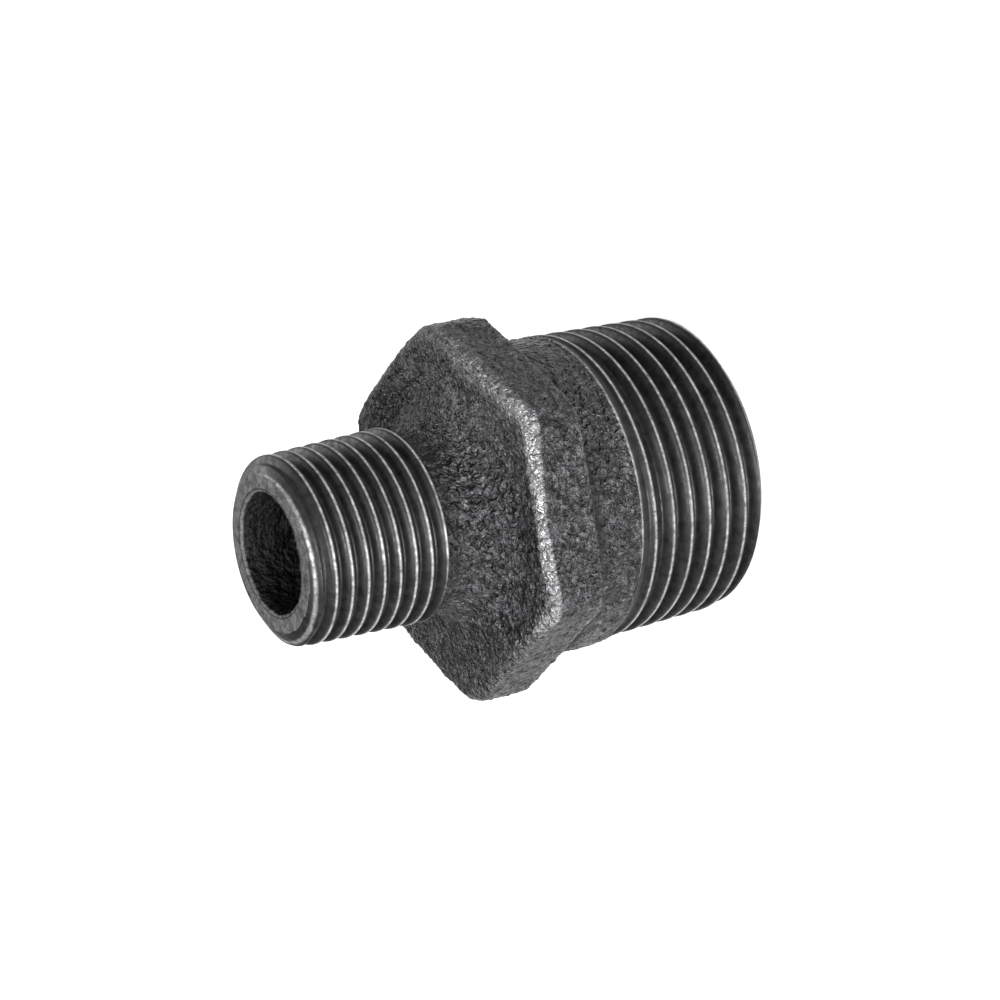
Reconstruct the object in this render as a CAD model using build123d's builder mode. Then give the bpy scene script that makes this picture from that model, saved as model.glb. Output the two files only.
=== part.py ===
from build123d import *
import os
from math import atan, cos, degrees, radians, sin, tan

# Reducing hexagon nipple, 1 to 1/2, in malleable cast iron.
# It is one casting: two taper threads and a hexagon on one body, with a bore through all of it.
# It stands on its large end. The origin is the centre of that end face, and +Z runs along the bore
# to the small end. The hexagon has two corners on the X axis and two flats across the Y axis.
# All lengths are in millimetres.

# ---- whole body ----
overall_length = 50.8

# ---- taper thread form: 55 degrees with rounded roots, 1 in 16 on diameter ----
# The last four are fractions of the pitch.
inch = 25.4
radius_per_length = 1 / 32
taper_angle = degrees(atan(radius_per_length))
flank_angle = radians(27.5)
sharp_height = 0.960491
thread_height = 0.640327
root_rounding = 0.137329
groove_reach = 0.42

# ---- large thread, size 1, on the end at z = 0 ----
large_pitch = inch / 11
large_nominal_radius = 33.249 / 2
large_gauge_length = 10.4
large_crest_wear = 0.17
large_turned_length = 16.4
large_runout_length = 4.2
large_end_chamfer_width = 1.3
large_end_chamfer_length = 1.1
large_groove_start = -1.58
large_groove_angle = 84.2  # where round the axis it starts, from +X

# ---- small thread, size 1/2, on the end at z = overall_length ----
small_pitch = inch / 14
small_nominal_radius = 20.955 / 2
small_gauge_length = 8.2
small_crest_wear = 0.27
small_thread_length = 15.0
small_shoulder_length = 0.45
small_end_chamfer_width = 1.7
small_end_chamfer_length = 1.15
small_groove_start = -1.28
small_groove_angle = 47.6  # where round the axis it starts, from +X
small_groove_turns = 10

# ---- hexagon ----
across_flats = 36.0
hexagon_front_z = 29.3
hexagon_back_z = 22.9
hexagon_corner_radius = 4.0
ground_corner_reach = 19.7
face_fall_slope = tan(radians(30))
front_face_radius = 17.6
back_face_radius = 18.3
face_fall_reach = 22.0

# ---- cast body between the threads ----
neck_radius = 9.45
neck_length = 0.7
collar_radius = 16.75
collar_fillet_radius = 1.0

# ---- bore, cored to two sizes with a cone between them ----
small_bore_radius = 6.4
small_bore_length = 22.0
large_bore_radius = 12.0
large_bore_length = 18.5
bore_edge_break = 0.35

# ---- worked out from the above ----
large_end_radius = large_nominal_radius - large_crest_wear - large_gauge_length * radius_per_length
small_end_radius = small_nominal_radius - small_crest_wear - small_gauge_length * radius_per_length
small_thread_end_z = overall_length - small_thread_length
neck_top_z = small_thread_end_z - small_shoulder_length
neck_bottom_z = neck_top_z - neck_length
neck_fillet_radius = neck_bottom_z - hexagon_front_z


def large_crest(distance):
    """Crest radius of the large thread at a distance from the large end."""
    return large_end_radius + distance * radius_per_length


def small_crest(distance):
    """Crest radius of the small thread at a distance from the small end."""
    return small_end_radius + distance * radius_per_length


def thread_groove(pitch, root_radius_at_start, start_z, end_z):
    """The space between two thread crests, as a solid wound upwards from start_z on the +X side.

    The thread's end face is at z = 0 and the thread widens upwards.
    """
    pitch_line_radius = root_radius_at_start + pitch * thread_height / 2
    rounding = pitch * root_rounding
    rounding_centre = rounding / sin(flank_angle) - pitch * sharp_height / 2
    tangent_x = rounding_centre - rounding * sin(flank_angle)
    tangent_y = rounding * cos(flank_angle)
    mouth_x = pitch * groove_reach
    mouth_y = pitch / 4 + mouth_x * tan(flank_angle)
    with BuildPart() as groove:
        with BuildLine() as winding:
            Helix(
                pitch=pitch / cos(radians(taper_angle)),
                height=end_z - start_z,
                radius=pitch_line_radius,
                center=(0, 0, start_z),
                cone_angle=taper_angle,
            )
        section_origin = (pitch_line_radius, 0, start_z)
        with BuildSketch(Plane(origin=section_origin, x_dir=(1, 0, 0), z_dir=(0, -1, 0))):
            with BuildLine():
                Polyline(
                    (tangent_x, tangent_y),
                    (mouth_x, mouth_y),
                    (mouth_x, -mouth_y),
                    (tangent_x, -tangent_y),
                )
                ThreePointArc(
                    (tangent_x, -tangent_y),
                    (rounding_centre - rounding, 0),
                    (tangent_x, tangent_y),
                )
            make_face()
        sweep(path=winding.line, is_frenet=True)
    return groove.part


# ---- groove of the large thread ----
with BuildPart() as large_groove:
    large_root_drop = large_pitch * thread_height - large_crest_wear
    large_groove_end = large_turned_length + large_pitch
    with Locations(Location((0, 0, 0), (0, 0, large_groove_angle))):
        add(
            thread_groove(
                large_pitch,
                large_crest(large_groove_start) - large_root_drop,
                large_groove_start,
                large_groove_end,
            )
        )
    # The die's lead leaves the last turns shallower: nothing is cut below this cone.
    runout_start = large_turned_length - large_runout_length
    runout_end_radius = large_crest(large_turned_length)
    with BuildSketch(Plane.XZ):
        with BuildLine():
            Polyline(
                (0, runout_start),
                (large_crest(runout_start) - large_root_drop, runout_start),
                (runout_end_radius, large_turned_length),
                (runout_end_radius + large_pitch, large_turned_length),
                (runout_end_radius + large_pitch, large_groove_end + large_pitch),
                (0, large_groove_end + large_pitch),
                close=True,
            )
        make_face()
    revolve(axis=Axis.Z, mode=Mode.SUBTRACT)

# ---- groove of the small thread, turned over onto the other end; it runs out over the neck ----
with BuildPart() as small_groove:
    small_root_drop = small_pitch * thread_height - small_crest_wear
    with Locations(Location((0, 0, overall_length), (180, 0, -small_groove_angle))):
        add(
            thread_groove(
                small_pitch,
                small_crest(small_groove_start) - small_root_drop,
                small_groove_start,
                small_groove_start + small_groove_turns * small_pitch,
            )
        )

# ---- hexagon, with both faces falling away towards the corners ----
with BuildPart() as hexagon:
    with BuildSketch(Plane.XY.offset(hexagon_back_z)):
        RegularPolygon(radius=across_flats / 2, side_count=6, major_radius=False)
        fillet(vertices(), hexagon_corner_radius)
        # The two corners on the mould's parting line are ground flat.
        Rectangle(2 * ground_corner_reach, 2 * across_flats, mode=Mode.INTERSECT)
    extrude(amount=hexagon_front_z - hexagon_back_z)
    with BuildSketch(Plane.XZ):
        with BuildLine():
            front_fall = (face_fall_reach - front_face_radius) * face_fall_slope
            back_fall = (face_fall_reach - back_face_radius) * face_fall_slope
            Polyline(
                (0, hexagon_back_z),
                (back_face_radius, hexagon_back_z),
                (face_fall_reach, hexagon_back_z + back_fall),
                (face_fall_reach, hexagon_front_z - front_fall),
                (front_face_radius, hexagon_front_z),
                (0, hexagon_front_z),
                close=True,
            )
        make_face()
    revolve(axis=Axis.Z, mode=Mode.INTERSECT)

# ---- bore ----
with BuildPart() as bore:
    with BuildSketch(Plane.XZ):
        with BuildLine():
            Polyline(
                (0, 0),
                (large_bore_radius + bore_edge_break, 0),
                (large_bore_radius, bore_edge_break),
                (large_bore_radius, large_bore_length),
                (small_bore_radius, overall_length - small_bore_length),
                (small_bore_radius, overall_length - bore_edge_break),
                (small_bore_radius + bore_edge_break, overall_length),
                (0, overall_length),
                close=True,
            )
        make_face()
    revolve(axis=Axis.Z)

# ---- the casting ----
with BuildPart() as nipple_body:
    # Everything but the hexagon is round, so one outline is turned about Z: the large threaded end,
    # the cast collar, the fillet under the hexagon's front face, the neck and the small threaded end.
    fillet_foot_radius = neck_radius + neck_fillet_radius
    with BuildSketch(Plane.back):
        with BuildLine():
            Polyline(
                (neck_radius, neck_bottom_z),
                (neck_radius, neck_top_z),
                (small_crest(small_thread_length), small_thread_end_z),
                (small_crest(small_end_chamfer_length), overall_length - small_end_chamfer_length),
                (small_end_radius - small_end_chamfer_width, overall_length),
                (0, overall_length),
                (0, 0),
                (large_end_radius - large_end_chamfer_width, 0),
                (large_crest(large_end_chamfer_length), large_end_chamfer_length),
                (large_crest(large_turned_length), large_turned_length),
                (collar_radius, large_turned_length),
                (collar_radius, hexagon_back_z - collar_fillet_radius),
            )
            RadiusArc(
                (collar_radius, hexagon_back_z - collar_fillet_radius),
                (collar_radius + collar_fillet_radius, hexagon_back_z),
                collar_fillet_radius,
            )
            Polyline(
                (collar_radius + collar_fillet_radius, hexagon_back_z),
                (fillet_foot_radius, hexagon_back_z),
                (fillet_foot_radius, hexagon_front_z),
            )
            RadiusArc(
                (fillet_foot_radius, hexagon_front_z),
                (neck_radius, neck_bottom_z),
                neck_fillet_radius,
            )
        make_face()
    revolve(axis=Axis.Z)
    add(hexagon.part)
    add(bore.part, mode=Mode.SUBTRACT)
    add(large_groove.part, mode=Mode.SUBTRACT)
    add(small_groove.part, mode=Mode.SUBTRACT)

nipple_body.part.label = "nipple_body"
os.makedirs("parts", exist_ok=True)
export_step(nipple_body.part, "parts/nipple_body.step")
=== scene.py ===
"""Looks of the reducing hex nipple: one cast skin with two real helical threads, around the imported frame.

The mesh is worked out in millimetres in the frame's own axes and scaled to metres at the end. The nipple
stands on its large end at z = 0, and +Z runs along the bore to the small end.
"""
import math

import bpy
import numpy as np
from mathutils import Matrix, Vector


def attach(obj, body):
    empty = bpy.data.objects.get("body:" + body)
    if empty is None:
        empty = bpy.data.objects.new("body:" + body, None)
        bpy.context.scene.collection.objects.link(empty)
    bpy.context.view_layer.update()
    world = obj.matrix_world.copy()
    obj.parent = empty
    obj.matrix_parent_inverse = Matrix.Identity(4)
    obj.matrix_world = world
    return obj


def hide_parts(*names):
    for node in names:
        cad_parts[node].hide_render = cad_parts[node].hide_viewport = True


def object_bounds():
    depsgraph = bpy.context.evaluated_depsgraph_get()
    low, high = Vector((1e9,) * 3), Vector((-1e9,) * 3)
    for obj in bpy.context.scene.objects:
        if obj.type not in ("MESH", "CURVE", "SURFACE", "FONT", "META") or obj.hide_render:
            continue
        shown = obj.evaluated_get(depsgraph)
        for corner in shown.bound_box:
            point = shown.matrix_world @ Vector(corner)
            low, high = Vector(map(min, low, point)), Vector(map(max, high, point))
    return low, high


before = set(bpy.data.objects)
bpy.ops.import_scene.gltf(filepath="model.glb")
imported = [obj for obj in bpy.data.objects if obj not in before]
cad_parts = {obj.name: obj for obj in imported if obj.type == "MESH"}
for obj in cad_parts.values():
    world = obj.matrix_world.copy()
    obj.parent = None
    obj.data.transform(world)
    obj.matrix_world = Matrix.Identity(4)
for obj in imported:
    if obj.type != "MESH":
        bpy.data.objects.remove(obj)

cad_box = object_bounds()
MM = 0.001
TURN = 2 * math.pi

# ---- sizes in millimetres. They are the CAD model's, except that the hexagon is an uneven casting ----
LENGTH = cad_box[1].z / MM

# Thread form, 1 in 16 on diameter and 55 degrees. The last three are fractions of the pitch.
TAPER = 1 / 32
FLANK = math.radians(27.5)
SHARP_HEIGHT = 0.960491
THREAD_HEIGHT = 0.640327
ROOT_ROUNDING = 0.137329

# end_radius is the crest's radius at the end face, and wear is how far the crests are blunted.
# groove_start is where a groove's middle crosses +X, measured from the end face. A chamfer is width, length.
SMALL = dict(pitch=25.4 / 14, end_radius=9.951, wear=0.27, groove_start=-1.04, chamfer=(1.70, 1.15))
LARGE = dict(pitch=25.4 / 11, end_radius=16.130, wear=0.17, groove_start=-2.05, chamfer=(1.30, 1.10))
SMALL_THREAD_LENGTH = 15.0
SHOULDER_LENGTH = 0.45
TURNED_LENGTH = 16.4
RUNOUT_LENGTH = 4.2
ROOT_BELOW_NECK = 0.3
SMALL_CREST_BLEND = 0.07
LARGE_CREST_BLEND = 0.08
CREST_CURVE = 0.9
CREST_ROUNDING = 0.35
CREST_LINE = 0.10  # half width of the bright worn line along a crest
CREST_DEPTH = 0.15  # how far below the blank that line fades out
STEP_LINE = (0.35, 0.10)  # the bright line at the step, from and to, measured from the step

NECK_RADIUS = 9.45
NECK_LENGTH = 0.7
COLLAR_RADIUS = 16.75
COLLAR_SHIFT = 0.22  # how far the collar lies to the -X side
COLLAR_FILLET = 1.0
STEP_ROUNDING = 0.12

SMALL_BORE_RADIUS = 6.4
LARGE_BORE_RADIUS = 12.0
SMALL_BORE_END_Z = 28.8
LARGE_BORE_END_Z = 18.5
BORE_EDGE = 0.35

# The hexagon. Where keys are angles in degrees round from +X, before it is turned by HEX_TURN,
# HEX_FLATS gives the distance from the axis to each flat, HEX_EDGE the width of the rounded front edge,
# and the table after it how bright that edge is: worn bright metal that is also a painted highlight,
# strongest round -90 degrees, on the side that faces the key light.
HEX_FLATS = {-150: 17.7, -90: 18.0, -30: 18.0, 30: 18.5, 90: 19.4, 150: 19.4}
HEX_EDGE = {-150: 2.0, -120: 1.6, -90: 1.2, -60: 1.9, -30: 2.5, 0: 2.3, 30: 1.3, 60: 0.8, 120: 0.8, 180: 0.9}
EDGE_WEAR_AND_HIGHLIGHT = {-135: 0.1, -118: 0.8, -90: 0.9, -62: 0.8, -45: 0.35, 0: 0.1, 180: 0.1}
HEX_TURN = math.radians(-2.0)
HEX_SHARPNESS = 23
HEX_FRONT_Z = 29.3
HEX_BACK_Z = 22.9
HEX_BACK_EDGE = 0.5
HEX_BACK_WEAR = 0.05
HEX_LEAN = (-0.010, 0.010)  # rise of both faces per millimetre towards +X and +Y
GROUND_REACH = (19.75, 20.45)  # where the +X and -X corners are ground off
GROUND_BLEND = 0.3
FACE_FALL_RADIUS = 17.6
FACE_FALL_SLOPE = math.tan(math.radians(10))
BACK_FALL_SHARE = 0.4
EDGE_DROP_SHARE = 0.6  # how far down the side the rounded front edge reaches, as a share of its width

# ---- the mesh's rings and rows ----
COLUMNS = 640
angles = np.arange(COLUMNS) * TURN / COLUMNS
HALF_ROWS = np.array([0, 0.045, 0.09, 0.125, 0.19, 0.25, 0.31, 0.37, 0.42, 0.46])
ROW_PHASES = np.concatenate([HALF_ROWS, [0.5], 1 - HALF_ROWS[:0:-1]])  # in turns, from one crest to the next
SLIVER = 0.01  # rows nearer than this to an end of the thread fall onto that end
FILLET_STEPS = 46
FACE_STEPS = 18

# ---- relief. Each layer of noise has a feature size, a height and a seed ----
GRAIN = ((0.42, 0.07, 11), (0.85, 0.08, 23))
SWELL = ((2.2, 0.06, 47), (7.0, 0.10, 53))
RAGGED_CREST = ((0.5, 0.02, 61), (2.4, 0.025, 67))
LUMP_SIZE, LUMP_HEIGHT, LUMP_SEED = 0.62, 0.09, 31
WEAR_DEPTH = 0.02


# ---- noise ----
def hashed(cell, seed):
    """A repeatable number from 0 to 1 for each whole-number cell."""
    n = cell[..., 0] * 374761393 + cell[..., 1] * 668265263 + cell[..., 2] * 2147483647 + seed * 974634777
    n = (n ^ (n >> 13)) * 1274126177
    n = n ^ (n >> 16)
    return (n & 0xFFFFFF) / float(0xFFFFFF)


def noise(points, size, seed):
    """Smooth noise from -1 to 1 with features of about the given size."""
    p = points / size
    base = np.floor(p).astype(np.int64)
    f = p - base
    w = f * f * f * (f * (f * 6 - 15) + 10)
    total = np.zeros(len(points))
    for dx in (0, 1):
        for dy in (0, 1):
            for dz in (0, 1):
                corner = base + (dx, dy, dz)
                slopes = [hashed(corner, seed + k) * 2 - 1 for k in range(3)]
                away = f - (dx, dy, dz)
                dot = sum(s * away[:, k] for k, s in enumerate(slopes))
                weight = 1.0
                for k, d in enumerate((dx, dy, dz)):
                    weight = weight * (w[:, k] if d else 1 - w[:, k])
                total += dot * weight
    return total * 1.5


def layered(points, layers):
    return sum(noise(points, size, seed) * height for size, height, seed in layers)


def smoothstep(low, high, x):
    t = np.clip((x - low) / (high - low), 0, 1)
    return t * t * (3 - 2 * t)


def bell(x, width):
    return np.exp(-((x / width) ** 2))


def soft_min(a, b, width):
    """The lesser of two values, with the corner where they cross rounded over the given width."""
    h = np.clip(0.5 + 0.5 * (b - a) / width, 0, 1)
    return b * (1 - h) + a * h - width * h * (1 - h)


# ---- thread surfaces ----
def groove_depth(thread, phase):
    """How far below the unworn crest the groove's wall lies. The phase is 0 at a crest and 0.5 at a root."""
    pitch = thread["pitch"]
    y = np.abs(0.5 - phase) * pitch
    rounding = ROOT_ROUNDING * pitch
    centre = rounding / math.sin(FLANK) - SHARP_HEIGHT * pitch / 2
    wall = (y - pitch / 4) / math.tan(FLANK)
    tangent = rounding * math.cos(FLANK)
    arc = centre - np.sqrt(np.maximum(rounding**2 - np.minimum(y, tangent) ** 2, 0))
    return THREAD_HEIGHT * pitch / 2 - np.where(y < tangent, arc, wall)


def thread_radii(thread, distance, angle, sense):
    """Radii of a thread's wall, crest, rounded crest and chamfer, and a mask along its crest."""
    pitch = thread["pitch"]
    turns = (distance - thread["groove_start"]) / pitch + 0.5 - sense * angle / TURN
    phase = turns - np.floor(turns)
    crest = thread["end_radius"] + distance * TAPER
    wall = crest + thread["wear"] - groove_depth(thread, phase)
    width, length = thread["chamfer"]
    chamfer = thread["end_radius"] - width + distance * (width + length * TAPER) / length
    from_crest = np.minimum(phase, 1 - phase) * pitch
    round_crest = crest - CREST_CURVE * np.minimum(from_crest, CREST_ROUNDING) ** 2
    return wall, crest, round_crest, chamfer, bell(from_crest, CREST_LINE)


def small_surface(distance, angle):
    """Radius of the small thread, its bright line, and how far the surface is below the blank."""
    wall, _, crest, chamfer, line = thread_radii(SMALL, distance, angle, -1)
    past_thread = np.maximum(distance - SMALL_THREAD_LENGTH, 0)
    shoulder = crest - past_thread * (crest - NECK_RADIUS) / SHOULDER_LENGTH
    blank = np.minimum(shoulder, chamfer)
    radius = soft_min(np.maximum(wall, NECK_RADIUS - ROOT_BELOW_NECK), blank, SMALL_CREST_BLEND)
    return radius, line, blank - radius


def large_surface(distance, angle):
    """The same for the large thread, which runs out to nothing before the step."""
    wall, crest, round_crest, chamfer, line = thread_radii(LARGE, distance, angle, 1)
    to_step = TURNED_LENGTH - distance
    root_drop = THREAD_HEIGHT * LARGE["pitch"] - LARGE["wear"]
    runout = crest - root_drop * np.clip(to_step / RUNOUT_LENGTH, 0, 1)
    blank = np.minimum(round_crest, chamfer)
    root = np.where(to_step < RUNOUT_LENGTH, runout, 0)
    radius = soft_min(np.maximum(wall, root), blank, LARGE_CREST_BLEND)
    step_line = smoothstep(TURNED_LENGTH - STEP_LINE[0], TURNED_LENGTH - STEP_LINE[1], distance)
    return radius, np.maximum(line, step_line), blank - radius


# ---- the hexagon ----
def hexagon_reach(angle):
    """Distance out to the hexagon's outline. Each flat has its own distance, and the corners are rounded."""
    total = np.zeros_like(angle)
    for flat, distance in HEX_FLATS.items():
        total += np.maximum(np.cos(angle - math.radians(flat)) / distance, 0) ** HEX_SHARPNESS
    return total ** (-1 / HEX_SHARPNESS)


def round_the_hexagon(values):
    """Blends values named at some angles, in degrees, smoothly round the hexagon."""
    return np.interp(np.degrees(angles - HEX_TURN), list(values), list(values.values()), period=360)


def front_z(radius):
    fall = np.maximum(radius - FACE_FALL_RADIUS, 0) * FACE_FALL_SLOPE
    return HEX_FRONT_Z - fall + lean * radius


def back_z(radius):
    fall = np.maximum(radius - FACE_FALL_RADIUS, 0) * FACE_FALL_SLOPE * BACK_FALL_SHARE
    return HEX_BACK_Z + fall + lean * radius


# ---- the skin, made of rings of vertices and of helical strips between two rings ----
class Skin:
    def __init__(self):
        self.points = []
        self.masks = []
        self.faces = []
        self.count = 0

    def add(self, radius, angle, z, cast, shine):
        """Adds vertices and returns their numbers."""
        radius, angle, z, cast, shine = np.broadcast_arrays(radius, angle, z, cast, shine)
        self.points.append(np.stack([radius * np.cos(angle), radius * np.sin(angle), z], -1))
        self.masks.append(np.stack([cast, shine], -1))
        first = self.count
        self.count += radius.size
        return np.arange(first, self.count)

    def ring(self, radius, z, cast, shine):
        return self.add(radius, angles, z, cast, shine)

    def join(self, a, b):
        """Quads between two rings."""
        self.faces.append(np.stack([a, b, np.roll(b, -1), np.roll(a, -1)], -1))

    def run(self, previous, profile):
        """Joins rings on, one after another. Each entry of the profile is (radius, z, cast, shine)."""
        for entry in profile:
            ring = self.ring(*entry)
            self.join(previous, ring)
            previous = ring
        return previous

    def strip(self, thread, surface, length, sense, near_ring, far_ring, z_of):
        """Fills the band between two rings with rows that follow the thread's helix.

        Rows that would lie past either end fall onto that end's ring, and the faces they would make vanish.
        The table's last column is its first again, one turn further along the helix.
        """
        pitch = thread["pitch"]
        crest_start = thread["groove_start"] + pitch / 2
        first = math.floor(-crest_start / pitch) - 1
        last = math.ceil((length - crest_start) / pitch) + 1
        rows = np.concatenate([n + ROW_PHASES for n in range(first, last + 1)])
        distance = crest_start + pitch * (rows[None, :] + sense * angles[:, None] / TURN)
        low = distance <= SLIVER
        high = distance >= length - SLIVER
        inside = ~low & ~high
        d = distance[inside]
        a = np.broadcast_to(angles[:, None], distance.shape)[inside]
        radius, line, below_blank = surface(d, a)
        shine = line * np.exp(-np.maximum(below_blank, 0) / CREST_DEPTH)

        table = np.empty((COLUMNS + 1, len(rows)), np.int64)
        table[:COLUMNS][inside] = self.add(radius, a, z_of(d), 0.0, shine)
        table[:COLUMNS][low] = np.broadcast_to(near_ring[:, None], distance.shape)[low]
        table[:COLUMNS][high] = np.broadcast_to(far_ring[:, None], distance.shape)[high]
        for k in range(len(rows)):
            source = k + sense * len(ROW_PHASES)
            if source < 0:
                table[COLUMNS, k] = near_ring[0]
            elif source >= len(rows):
                table[COLUMNS, k] = far_ring[0]
            else:
                table[COLUMNS, k] = table[0, source]
        corners = [table[:-1, :-1], table[1:, :-1], table[1:, 1:], table[:-1, 1:]]
        quads = np.stack(corners, -1).reshape(-1, 4)
        self.faces.append(quads if sense > 0 else quads[:, ::-1])


def straight(start, end, steps, cast, shine=0.0):
    """Ring entries from start to end, without start. Ends are (radius, z) and may vary round the ring."""
    return [
        (start[0] + (end[0] - start[0]) * k / steps, start[1] + (end[1] - start[1]) * k / steps, cast, shine)
        for k in range(1, steps + 1)
    ]


def rounded(start, corner, end, steps, cast, shine=0.0):
    """Ring entries round a corner, along a curve that leaves and meets the two lines smoothly."""
    entries = []
    for k in range(1, steps + 1):
        t = k / steps
        weights = ((1 - t) ** 2, 2 * t * (1 - t), t * t)
        radius = sum(w * p[0] for w, p in zip(weights, (start, corner, end)))
        z = sum(w * p[1] for w, p in zip(weights, (start, corner, end)))
        entries.append((radius, z, cast, shine * 4 * t * (1 - t)))
    return entries


skin = Skin()
lean = HEX_LEAN[0] * np.cos(angles) + HEX_LEAN[1] * np.sin(angles)

# small end: the bore's edge, the end face and the threaded length
neck_top = LENGTH - SMALL_THREAD_LENGTH - SHOULDER_LENGTH
neck_bottom = neck_top - NECK_LENGTH
bore_rim = (SMALL_BORE_RADIUS + BORE_EDGE, LENGTH)
small_face = (SMALL["end_radius"] - SMALL["chamfer"][0], LENGTH)
rim = skin.ring(*bore_rim, 0.3, 0.0)
last = skin.run(rim, straight(bore_rim, small_face, 10, 0.0, 0.38))
neck_ring = skin.ring(NECK_RADIUS, neck_top, 0.4, 0.0)
small_length = SMALL_THREAD_LENGTH + SHOULDER_LENGTH
skin.strip(SMALL, small_surface, small_length, -1, last, neck_ring, lambda d: LENGTH - d)

# neck, and the fillet down to the hexagon
last = skin.run(neck_ring, straight((NECK_RADIUS, neck_top), (NECK_RADIUS, neck_bottom), 5, 1.0))
fillet = neck_bottom - HEX_FRONT_Z
fillet_foot = NECK_RADIUS + fillet
for k in range(1, FILLET_STEPS + 1):
    turn = math.pi / 2 * k / FILLET_STEPS
    radius = NECK_RADIUS + fillet * (1 - math.cos(turn))
    z = neck_bottom - fillet * math.sin(turn) + lean * radius * math.sin(turn) ** 2
    last = skin.run(last, [(radius, z, 1.0, 0.0)])

# hexagon: front face, rounded front edge, sides and back edge
reach = hexagon_reach(angles - HEX_TURN)
across = np.cos(angles - HEX_TURN)
ground = np.where(across > 0, GROUND_REACH[0], GROUND_REACH[1]) / np.maximum(np.abs(across), 0.1)
reach = soft_min(reach, ground, GROUND_BLEND)
edge = round_the_hexagon(HEX_EDGE)
inner = reach - edge
for k in range(1, FACE_STEPS + 1):
    radius = fillet_foot + (inner - fillet_foot) * k / FACE_STEPS
    last = skin.run(last, [(radius, front_z(radius), 1.0, 0.0)])
front_inner = (inner, front_z(inner))
front_corner = (reach, front_z(reach))
side_top = (reach, front_z(reach) - EDGE_DROP_SHARE * edge)
side_bottom = (reach, back_z(reach) + HEX_BACK_EDGE)
back_corner = (reach, back_z(reach))
back_inner = (reach - HEX_BACK_EDGE, back_z(reach - HEX_BACK_EDGE))
# The front edge's worn bright metal is strongest on the side facing the key light: partly wear, partly
# painted highlight.
last = skin.run(last, rounded(front_inner, front_corner, side_top, 12, 1.0, round_the_hexagon(EDGE_WEAR_AND_HIGHLIGHT)))
last = skin.run(last, straight(side_top, side_bottom, 30, 1.0))
last = skin.run(last, rounded(side_bottom, back_corner, back_inner, 8, 1.0, HEX_BACK_WEAR))

# back face, collar, and the step down to the turned surface
collar = COLLAR_RADIUS - COLLAR_SHIFT * np.cos(angles)
collar_corner = (collar, HEX_BACK_Z + lean * COLLAR_RADIUS)
collar_top = (collar, HEX_BACK_Z - COLLAR_FILLET + lean * COLLAR_RADIUS)
collar_bottom = (collar, TURNED_LENGTH + STEP_ROUNDING)
step_corner = (collar, TURNED_LENGTH)
step_foot = (LARGE["end_radius"] + TURNED_LENGTH * TAPER, TURNED_LENGTH)
last = skin.run(last, rounded(back_inner, collar_corner, collar_top, 12, 1.0))
last = skin.run(last, straight(collar_top, collar_bottom, 32, 1.0))
step_ring = skin.run(last, rounded(collar_bottom, step_corner, step_foot, 4, 0.6, 0.8))

# large thread and end face
large_face = (LARGE["end_radius"] - LARGE["chamfer"][0], 0.0)
face_ring = skin.ring(*large_face, 0.0, 0.4)
skin.strip(LARGE, large_surface, TURNED_LENGTH, 1, face_ring, step_ring, lambda d: d)
large_rim = (LARGE_BORE_RADIUS + BORE_EDGE, 0.0)
last = skin.run(face_ring, straight(large_face, large_rim, 12, 0.0, 0.6))

# bore, from the large end back to the first ring
bore_start = (LARGE_BORE_RADIUS, BORE_EDGE)
cone_start = (LARGE_BORE_RADIUS, LARGE_BORE_END_Z)
cone_end = (SMALL_BORE_RADIUS, SMALL_BORE_END_Z)
bore_end = (SMALL_BORE_RADIUS, LENGTH - BORE_EDGE)
last = skin.run(last, rounded(large_rim, (LARGE_BORE_RADIUS, 0.0), bore_start, 4, 0.6, 0.3))
last = skin.run(last, straight(bore_start, cone_start, 40, 1.0))
last = skin.run(last, straight(cone_start, cone_end, 26, 1.0))
last = skin.run(last, straight(cone_end, bore_end, 60, 1.0))
last = skin.run(last, rounded(bore_end, (SMALL_BORE_RADIUS, LENGTH), bore_rim, 5, 0.6, 0.3)[:-1])
skin.join(last, rim)

points = np.concatenate([p.reshape(-1, 3) for p in skin.points])
masks = np.concatenate([m.reshape(-1, 2) for m in skin.masks])
cast = masks[:, 0]
shine = masks[:, 1]


def clean_faces(quads):
    """Drops repeated corners: a quad with one repeat is a triangle, and with two it is nothing."""
    repeat = np.stack([quads[:, k] == quads[:, (k + 1) % 4] for k in range(4)], -1)
    crossed = (quads[:, 0] == quads[:, 2]) | (quads[:, 1] == quads[:, 3])
    whole = ~repeat.any(1) & ~crossed
    three = (repeat.sum(1) == 1) & ~crossed
    kept_corners = [np.delete(quad, np.argmax(same)) for quad, same in zip(quads[three], repeat[three])]
    return quads[whole], np.array(kept_corners, np.int64).reshape(-1, 3)


def vertex_normals(points, quads, triangles):
    total = np.zeros_like(points)
    corner = [points[quads[:, k]] for k in range(4)]
    facing = np.cross(corner[2] - corner[0], corner[3] - corner[1])
    for k in range(4):
        np.add.at(total, quads[:, k], facing)
    corner = [points[triangles[:, k]] for k in range(3)]
    facing = np.cross(corner[1] - corner[0], corner[2] - corner[0])
    for k in range(3):
        np.add.at(total, triangles[:, k], facing)
    return total / np.maximum(np.linalg.norm(total, axis=1, keepdims=True), 1e-12)


quads, triangles = clean_faces(np.concatenate(skin.faces))

# ---- the cast skin's relief, and small raggedness on the machined crests ----
lumps = smoothstep(0.2, 0.6, noise(points, LUMP_SIZE, LUMP_SEED)) * LUMP_HEIGHT
relief = cast * (lumps - layered(points, GRAIN) - layered(points, SWELL))
ragged = (1 - cast) * shine * layered(points, RAGGED_CREST)
height = relief + ragged - WEAR_DEPTH * shine
points = points + vertex_normals(points, quads, triangles) * height[:, None]
points[:, 2] = np.maximum(points[:, 2], 0)
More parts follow.
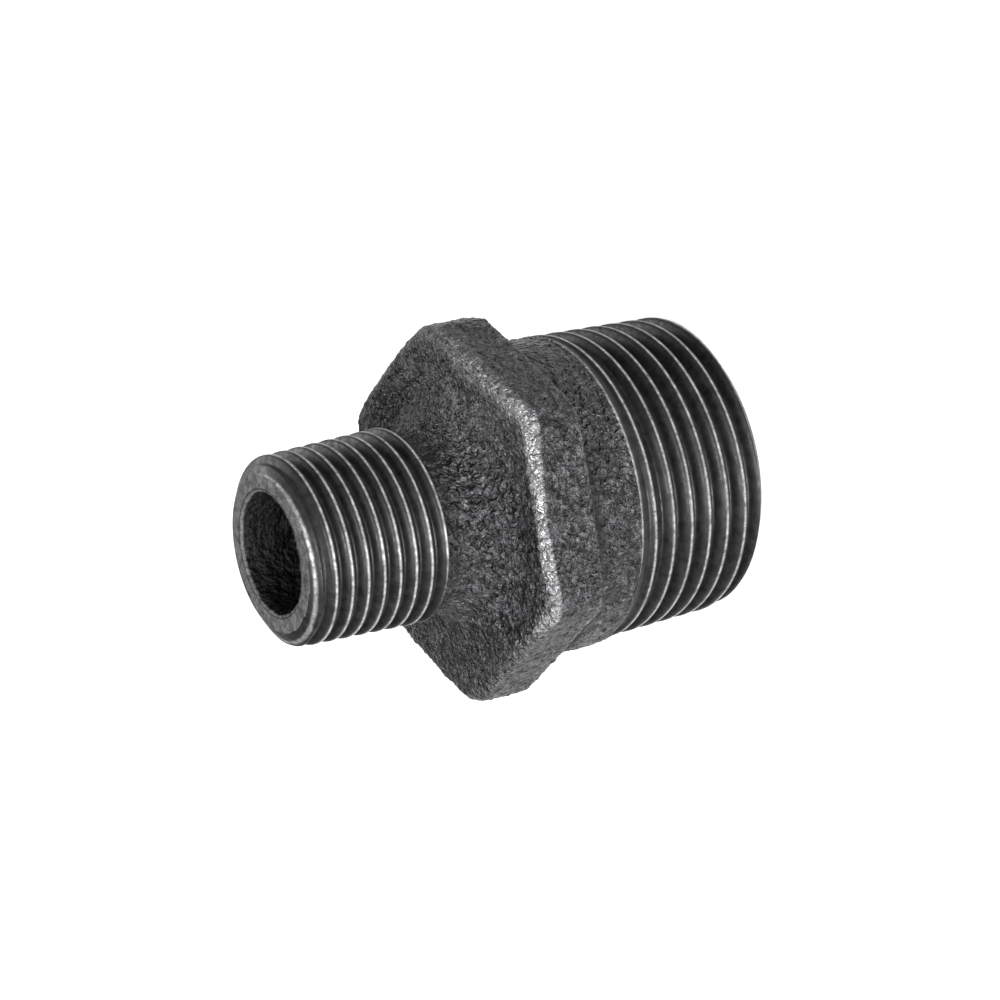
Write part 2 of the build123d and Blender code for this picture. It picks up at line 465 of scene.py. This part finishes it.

# ---- painted shade: darkening in the bore, under the hexagon's back and round the neck ----
bore_zs = (0, LARGE_BORE_END_Z, SMALL_BORE_END_Z, LENGTH)
bore_radii = (LARGE_BORE_RADIUS, LARGE_BORE_RADIUS, SMALL_BORE_RADIUS, SMALL_BORE_RADIUS)
outward = np.hypot(points[:, 0], points[:, 1])
bore = smoothstep(0.50, 0.36, outward - np.interp(points[:, 2], bore_zs, bore_radii))
under_hexagon = bell(points[:, 2] - HEX_BACK_Z + 1.0, 0.85) * smoothstep(18.2, 17.2, outward)
round_neck = bell(points[:, 2] - neck_bottom, 1.1)
painted_shade = np.maximum(bore, cast * np.maximum(0.9 * under_hexagon, 0.55 * round_neck))

# ---- the Blender mesh ----
mesh = bpy.data.meshes.new("nipple_skin")
loops = np.concatenate([quads.ravel(), triangles.ravel()]).astype(np.int32)
quad_starts = np.arange(len(quads)) * 4
triangle_starts = len(quads) * 4 + np.arange(len(triangles)) * 3
starts = np.concatenate([quad_starts, triangle_starts]).astype(np.int32)
mesh.vertices.add(len(points))
mesh.vertices.foreach_set("co", (points * MM).astype(np.float32).ravel())
mesh.loops.add(len(loops))
mesh.loops.foreach_set("vertex_index", loops)
mesh.polygons.add(len(starts))
mesh.polygons.foreach_set("loop_start", starts)
mesh.update(calc_edges=True)
mesh.validate()
mesh.polygons.foreach_set("use_smooth", np.ones(len(mesh.polygons), bool))
for name, values in (("cast", cast), ("shine", shine), ("painted_shade", painted_shade)):
    attribute = mesh.attributes.new(name, "FLOAT", "POINT")
    attribute.data.foreach_set("value", values.astype(np.float32))
nipple = bpy.data.objects.new("nipple_skin", mesh)
bpy.context.scene.collection.objects.link(nipple)

# ---- material. Texture scales are per metre, so 1000 gives features of about a millimetre ----
material = bpy.data.materials.new("black_malleable_iron")
material.use_nodes = True
tree = material.node_tree
tree.nodes.clear()


def node(kind, links=(), **settings):
    """Adds a node, sets its properties, and links other nodes' sockets into its inputs."""
    made = tree.nodes.new(kind)
    for name, value in settings.items():
        setattr(made, name, value)
    for socket, source in links:
        tree.links.new(source, made.inputs[socket])
    return made


def mask(name):
    return node("ShaderNodeAttribute", attribute_name=name).outputs["Fac"]


def texture(scale, detail, roughness, distortion=0.0):
    made = node("ShaderNodeTexNoise", [("Vector", place)])
    made.inputs["Scale"].default_value = scale
    made.inputs["Detail"].default_value = detail
    made.inputs["Roughness"].default_value = roughness
    made.inputs["Distortion"].default_value = distortion
    return made.outputs["Fac"]


def ramp(source, stops):
    """Turns a value into greys, very slightly blue. Each stop is (position, grey)."""
    made = node("ShaderNodeValToRGB", [("Fac", source)])
    elements = made.color_ramp.elements
    while len(elements) < len(stops):
        elements.new(0.5)
    for element, (position, value) in zip(elements, stops):
        element.position = position
        element.color = (value, value, value * 1.02, 1)
    return made.outputs["Color"]


def mix(factor, a, b, blend="MIX"):
    """Mixes two colours or greys. Each argument is a number or another node's socket."""
    made = node("ShaderNodeMix", data_type="RGBA", blend_type=blend)
    for name, value in (("Factor", factor), ("A", a), ("B", b)):
        kind = "VALUE" if name == "Factor" else "RGBA"
        socket = next(s for s in made.inputs if s.name == name and s.enabled and s.type == kind)
        if not isinstance(value, (int, float)):
            tree.links.new(value, socket)
        elif kind == "VALUE":
            socket.default_value = value
        else:
            socket.default_value = (value, value, value, 1)
    return next(s for s in made.outputs if s.type == "RGBA")


def maths(operation, *sources, clamp=False):
    made = node("ShaderNodeMath", operation=operation, use_clamp=clamp)
    for socket, source in zip(made.inputs, sources):
        if isinstance(source, (int, float)):
            socket.default_value = source
        else:
            tree.links.new(source, socket)
    return made.outputs[0]


def bump(height, distance, strength, links=()):
    made = node("ShaderNodeBump", [("Height", height), ("Strength", strength), *links])
    made.inputs["Distance"].default_value = distance
    return made.outputs["Normal"]


place = node("ShaderNodeTexCoord").outputs["Object"]
cast_mask = mask("cast")
shine_mask = mask("shine")
painted_shade_mask = mask("painted_shade")

# colour: speckled cast skin with painted shade in the bore and recesses, darker turned metal, and bright
# worn metal on crests and edges, which along the hexagon's front edge is also a painted highlight
speckle = ramp(texture(1900, 3, 0.7), [(0.36, 0.007), (0.50, 0.025), (0.66, 0.062)])
patches = ramp(texture(260, 3, 0.6), [(0.30, 0.70), (0.70, 1.30)])
mottle = ramp(texture(850, 2, 0.5), [(0.36, 0.45), (0.64, 1.45)])
cast_colour = mix(1.0, mix(1.0, speckle, patches, "MULTIPLY"), mottle, "MULTIPLY")
# Painted shade: the cast colour falls to 0.12 of itself in the bore, under the hexagon's back and round the
# neck.
cast_colour = mix(painted_shade_mask, cast_colour, mix(1.0, cast_colour, 0.12, "MULTIPLY"))
turned_colour = ramp(texture(900, 4, 0.65), [(0.30, 0.004), (0.75, 0.020)])
# Worn bright metal on crests, end faces and edges; along the hexagon's front edge it is also a painted
# highlight, kept to the side facing the key light.
worn_and_highlight_colour = ramp(texture(1700, 3, 0.75), [(0.30, 0.15), (0.70, 0.60)])
worn_patches = ramp(texture(900, 3, 0.7), [(0.30, 0.35), (0.62, 1.0)])
wear = maths("MULTIPLY", shine_mask, worn_patches, clamp=True)
colour = mix(wear, mix(cast_mask, turned_colour, cast_colour), worn_and_highlight_colour)

# finish: satin turned metal, a dull bore and dull recesses
satin = ramp(texture(1300, 4, 0.7), [(0.32, 0.32), (0.68, 0.62)])
roughness = mix(painted_shade_mask, mix(wear, mix(cast_mask, satin, 0.36), 0.40), 0.75)
metallic = mix(wear, mix(cast_mask, 0.30, 0.08), 0.90)

# bump: two sizes of grain on cast skin only, and less of the finer one where shade is painted
fine_strength = maths("MULTIPLY", cast_mask, maths("MULTIPLY_ADD", painted_shade_mask, -0.75, 1.0))
coarse_normal = bump(texture(800, 2, 0.6), 0.0012, cast_mask)
fine_normal = bump(texture(1900, 1.5, 0.5, 0.6), 0.0010, fine_strength, [("Normal", coarse_normal)])

surface = node(
    "ShaderNodeBsdfPrincipled",
    [("Base Color", colour), ("Roughness", roughness), ("Metallic", metallic), ("Normal", fine_normal)],
)
surface.inputs["Specular IOR Level"].default_value = 0.26
node("ShaderNodeOutputMaterial", [("Surface", surface.outputs["BSDF"])])
mesh.materials.append(material)

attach(nipple, "root")
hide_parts("nipple_body")

# ---- floor and world ----
FLOOR_HALF = 3.0
floor_corners = [(-1, -1), (1, -1), (1, 1), (-1, 1)]
floor_mesh = bpy.data.meshes.new("floor")
floor_mesh.from_pydata([(x * FLOOR_HALF, y * FLOOR_HALF, 0) for x, y in floor_corners], [], [(0, 1, 2, 3)])
floor = bpy.data.objects.new("floor", floor_mesh)
bpy.context.scene.collection.objects.link(floor)
floor_material = bpy.data.materials.new("pale_floor")
floor_material.use_nodes = True
floor_shader = floor_material.node_tree.nodes["Principled BSDF"]
floor_shader.inputs["Base Color"].default_value = (0.25, 0.25, 0.25, 1)
floor_shader.inputs["Roughness"].default_value = 0.9
floor_shader.inputs["Specular IOR Level"].default_value = 0.0
floor_shader.inputs["Emission Color"].default_value = (1, 1, 1, 1)
floor_shader.inputs["Emission Strength"].default_value = 0.95
floor_mesh.materials.append(floor_material)

# The world gives little light, but is white where it shows past the floor's edge in a low view.
WORLD_LIGHT = 0.05
world = bpy.data.worlds.new("studio")
world.use_nodes = True
world_tree = world.node_tree
background = world_tree.nodes["Background"]
background.inputs["Color"].default_value = (1, 1, 1, 1)
seen_directly = world_tree.nodes.new("ShaderNodeLightPath").outputs["Is Camera Ray"]
strength = world_tree.nodes.new("ShaderNodeMapRange")
strength.inputs["To Min"].default_value = WORLD_LIGHT
world_tree.links.new(seen_directly, strength.inputs["Value"])
world_tree.links.new(strength.outputs["Result"], background.inputs["Strength"])
bpy.context.scene.world = world
bpy.context.scene.view_settings.view_transform = "Standard"

# ---- lights: name, azimuth, elevation, distance, size and power ----
AIM = Vector((0.24, 0.03, 23.23)) * MM
LIGHTS = (
    ("key_softbox", -22, 6, 0.5, (0.12, 0.30), 7.5),
    ("side_softbox", -105, 15, 0.6, (0.2, 0.3), 0.5),
    ("top_softbox", -20, 65, 0.7, (0.35, 0.35), 9.0),
    ("back_softbox", 150, 25, 0.8, (0.4, 0.4), 3.0),
)


def direction(azimuth, elevation):
    """Unit vector towards a place seen from the part; azimuth 0 is the -Y side and 90 the +X side."""
    a, e = math.radians(azimuth), math.radians(elevation)
    return Vector((math.sin(a) * math.cos(e), -math.cos(a) * math.cos(e), math.sin(e)))


for name, azimuth, elevation, distance, size, power in LIGHTS:
    light_data = bpy.data.lights.new(name, "AREA")
    light_data.shape = "RECTANGLE"
    light_data.size, light_data.size_y = size
    light_data.energy = power
    light = bpy.data.objects.new(name, light_data)
    bpy.context.scene.collection.objects.link(light)
    towards = direction(azimuth, elevation)
    light.location = AIM + towards * distance
    light.rotation_mode = "QUATERNION"
    light.rotation_quaternion = (-towards).to_track_quat("-Z", "Y")

# ---- camera, rolled so that the standing part appears to lie ----
CAMERA_AZIMUTH = 6.256
CAMERA_ELEVATION = 29.353
CAMERA_DISTANCE = 0.35062
CAMERA_ROLL = math.radians(-102.606)
camera_data = bpy.data.cameras.new("camera")
camera_data.sensor_width = 36
camera_data.lens = 119.361
camera_data.clip_start = 0.01
camera_data.clip_end = 20
camera = bpy.data.objects.new("camera", camera_data)
bpy.context.scene.collection.objects.link(camera)
back = direction(CAMERA_AZIMUTH, CAMERA_ELEVATION)
camera.location = AIM + back * CAMERA_DISTANCE
level_right = Vector((0, 0, 1)).cross(back).normalized()
level_up = back.cross(level_right)
up = math.cos(CAMERA_ROLL) * level_up - math.sin(CAMERA_ROLL) * level_right
camera.rotation_mode = "QUATERNION"
camera.rotation_quaternion = Matrix((up.cross(back), up, back)).transposed().to_quaternion()
bpy.context.scene.camera = camera
